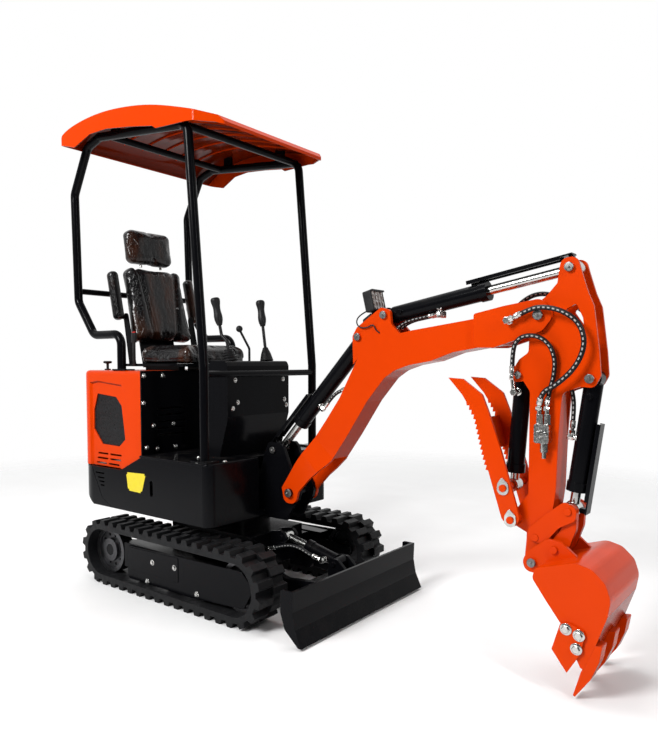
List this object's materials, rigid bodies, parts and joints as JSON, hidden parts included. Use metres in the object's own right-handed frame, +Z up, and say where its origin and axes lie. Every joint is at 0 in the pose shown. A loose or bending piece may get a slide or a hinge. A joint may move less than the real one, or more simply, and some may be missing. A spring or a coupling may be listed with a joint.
{
  "type": "mini excavator",
  "caption": "Small tracked excavator with open canopy, operator seat, dozer blade, boom, arm, bucket and hydraulic thumb.",
  "frame": {"origin": "on the ground under the slew axis, midway between the tracks", "axes": "+X forward over the boom and blade, +Y to the left, +Z up"},
  "size_m": [2.8213, 1.0632, 2.4111],
  "materials": {
    "orange_paint": "gloss enamel over welded steel",
    "black_paint": "semi-gloss black enamel",
    "track_rubber": "matt moulded rubber",
    "seat_vinyl": "grained vinyl",
    "bright_steel": "hard chrome rods and zinc plated fittings",
    "cast_iron": "painted casting",
    "worn_steel": "worn steel edge",
    "black_plastic": "textured black plastic"
  },
  "bodies": {
    "undercarriage": {"carbody": "black_paint", "track_frame_left": "black_paint", "track_frame_right": "black_paint", "track_cover_left": "black_paint", "track_cover_right": "black_paint", "track_left": "track_rubber", "track_right": "track_rubber", "sprockets": "black_paint", "idlers": "black_paint", "track_rollers": "black_paint"},
    "house": {"platform": "black_paint", "cowl": "black_plastic", "counterweight": "cast_iron", "floor": "black_paint", "bonnet": "orange_paint", "bonnet_screens": "black_plastic", "bonnet_cap": "black_plastic", "bulkhead": "black_paint", "engine": "cast_iron", "console": "black_plastic", "levers": "black_plastic", "front_frame": "black_paint", "rear_frame": "black_paint", "roof": "orange_paint", "roof_rails": "black_paint", "seat_frame": "black_paint", "seat_cushion": "seat_vinyl", "seat_back": "seat_vinyl", "headrest": "seat_vinyl", "headrest_stems": "bright_steel"},
    "armrest_left": {"armrest_left": "seat_vinyl"},
    "armrest_right": {"armrest_right": "seat_vinyl"},
    "boom": {"boom": "orange_paint", "work_lamp": "black_plastic"},
    "boom_barrel": {"boom_cylinder_barrel": "black_paint"},
    "boom_rod": {"boom_cylinder_rod": "bright_steel", "boom_cylinder_guard": "black_paint"},
    "arm_barrel": {"arm_cylinder_barrel": "black_paint"},
    "arm_rod": {"arm_cylinder_rod": "bright_steel", "arm_cylinder_guard": "black_paint"},
    "arm": {"arm": "orange_paint", "thumb_valve": "bright_steel"},
    "bucket_barrel": {"bucket_cylinder_barrel": "black_paint"},
    "bucket_rod": {"bucket_cylinder_rod": "bright_steel", "bucket_cylinder_guard": "black_paint"},
    "rocker": {"rocker": "orange_paint"},
    "bucket_link": {"bucket_link": "orange_paint"},
    "bucket": {"bucket": "orange_paint", "bucket_edge": "worn_steel"},
    "thumb": {"thumb": "orange_paint", "thumb_pin_plates": "bright_steel"},
    "thumb_barrel": {"thumb_cylinder_barrel": "black_paint"},
    "thumb_rod": {"thumb_cylinder_rod": "bright_steel"},
    "blade": {"blade": "black_paint"},
    "blade_barrel": {"blade_cylinder_barrel": "black_paint"},
    "blade_rod": {"blade_cylinder_rod": "bright_steel"}
  },
  "joints": [
    {"name": "slew", "type": "hinge", "parent": "undercarriage", "child": "house", "pos_m": [0, 0, 0.375], "axis": [0, 0, 1], "continuous": true},
    {"name": "boom_lift", "type": "hinge", "parent": "house", "child": "boom", "pos_m": [0.482, 0, 0.539], "axis": [0, -1, 0], "range_deg": [-60, 30]},
    {"name": "arm_crowd", "type": "hinge", "parent": "boom", "child": "arm", "pos_m": [1.692, 0, 1.343], "axis": [0, 1, 0], "range_deg": [-85, 20]},
    {"name": "bucket_curl", "type": "hinge", "parent": "arm", "child": "bucket", "pos_m": [1.688, 0, 0.423], "axis": [0, 1, 0], "range_deg": [-10, 130]},
    {"name": "thumb_close", "type": "hinge", "parent": "arm", "child": "thumb", "pos_m": [1.608, 0, 0.574], "axis": [0, 1, 0], "range_deg": [-110, 0]},
    {"name": "blade_lift", "type": "hinge", "parent": "undercarriage", "child": "blade", "pos_m": [0.43, 0, 0.15], "axis": [0, -1, 0], "range_deg": [-20, 25]},
    {"name": "armrest_left_fold", "type": "hinge", "parent": "house", "child": "armrest_left", "pos_m": [-0.592, 0.268, 1.415], "axis": [0, 1, 0], "range_deg": [0, 95]},
    {"name": "armrest_right_fold", "type": "hinge", "parent": "house", "child": "armrest_right", "pos_m": [-0.592, -0.268, 1.415], "axis": [0, 1, 0], "range_deg": [0, 95]},
    {"name": "boom_barrel_swing", "type": "hinge", "parent": "boom", "child": "boom_barrel", "pos_m": [0.869, 0, 1.281], "axis": [0, -1, 0], "range_deg": [-1.11, 0.56]},
    {"name": "boom_rod_slide", "type": "slide", "parent": "boom_barrel", "child": "boom_rod", "axis": [-0.6833, 0, -0.7301], "range_m": [-0.1236, 0.2371]},
    {"name": "arm_barrel_swing", "type": "hinge", "parent": "boom", "child": "arm_barrel", "pos_m": [1.005, 0, 1.372], "axis": [0, 1, 0], "range_deg": [-2.7, 0.64]},
    {"name": "arm_rod_slide", "type": "slide", "parent": "arm_barrel", "child": "arm_rod", "axis": [0.9849, 0, 0.1731], "range_m": [-0.2691, 0.071]},
    {"name": "bucket_barrel_swing", "type": "hinge", "parent": "arm", "child": "bucket_barrel", "pos_m": [1.875, 0, 1.111], "axis": [0, 1, 0], "range_deg": [-5.98, 0.47]},
    {"name": "bucket_rod_slide", "type": "slide", "parent": "bucket_barrel", "child": "bucket_rod", "axis": [-0.1348, 0, -0.9909], "range_m": [-0.0283, 0.2476]},
    {"name": "thumb_barrel_swing", "type": "hinge", "parent": "arm", "child": "thumb_barrel", "pos_m": [1.61, 0, 1.121], "axis": [0, 1, 0], "range_deg": [-0.01, 9.49]},
    {"name": "thumb_rod_slide", "type": "slide", "parent": "thumb_barrel", "child": "thumb_rod", "axis": [-0.0767, 0, -0.9971], "range_m": [-0.01, 0.197]},
    {"name": "blade_barrel_swing", "type": "hinge", "parent": "blade", "child": "blade_barrel", "pos_m": [0.722, 0, 0.226], "axis": [0, -1, 0], "range_deg": [-4.49, 3.59]},
    {"name": "blade_rod_slide", "type": "slide", "parent": "blade_barrel", "child": "blade_rod", "axis": [-0.9752, 0, 0.2214], "range_m": [-0.0719, 0.0595]},
    {"name": "rocker_swing", "type": "hinge", "parent": "arm", "child": "rocker", "pos_m": [1.689, 0, 0.512], "axis": [0, 1, 0], "range_deg": [-7.03, 91.31]},
    {"name": "link_swing", "type": "hinge", "parent": "rocker", "child": "bucket_link", "pos_m": [1.809, 0, 0.626], "axis": [0, 1, 0], "range_deg": [-51.39, 3.96]}
  ],
  "couplings": [
    {"joint": "boom_barrel_swing", "follows": "boom_lift", "ratio": 0.018},
    {"joint": "boom_rod_slide", "follows": "boom_lift", "m_per_rad": -0.21262},
    {"joint": "arm_barrel_swing", "follows": "arm_crowd", "ratio": 0.031},
    {"joint": "arm_rod_slide", "follows": "arm_crowd", "m_per_rad": 0.17123},
    {"joint": "bucket_barrel_swing", "follows": "bucket_curl", "ratio": -0.045},
    {"joint": "bucket_rod_slide", "follows": "bucket_curl", "m_per_rad": 0.10267},
    {"joint": "thumb_barrel_swing", "follows": "thumb_close", "ratio": -0.0845},
    {"joint": "thumb_rod_slide", "follows": "thumb_close", "m_per_rad": -0.09548},
    {"joint": "blade_barrel_swing", "follows": "blade_lift", "ratio": -0.1755},
    {"joint": "blade_rod_slide", "follows": "blade_lift", "m_per_rad": -0.139},
    {"joint": "rocker_swing", "follows": "bucket_curl", "ratio": 0.6885},
    {"joint": "link_swing", "follows": "bucket_curl", "ratio": -0.3875}
  ]
}
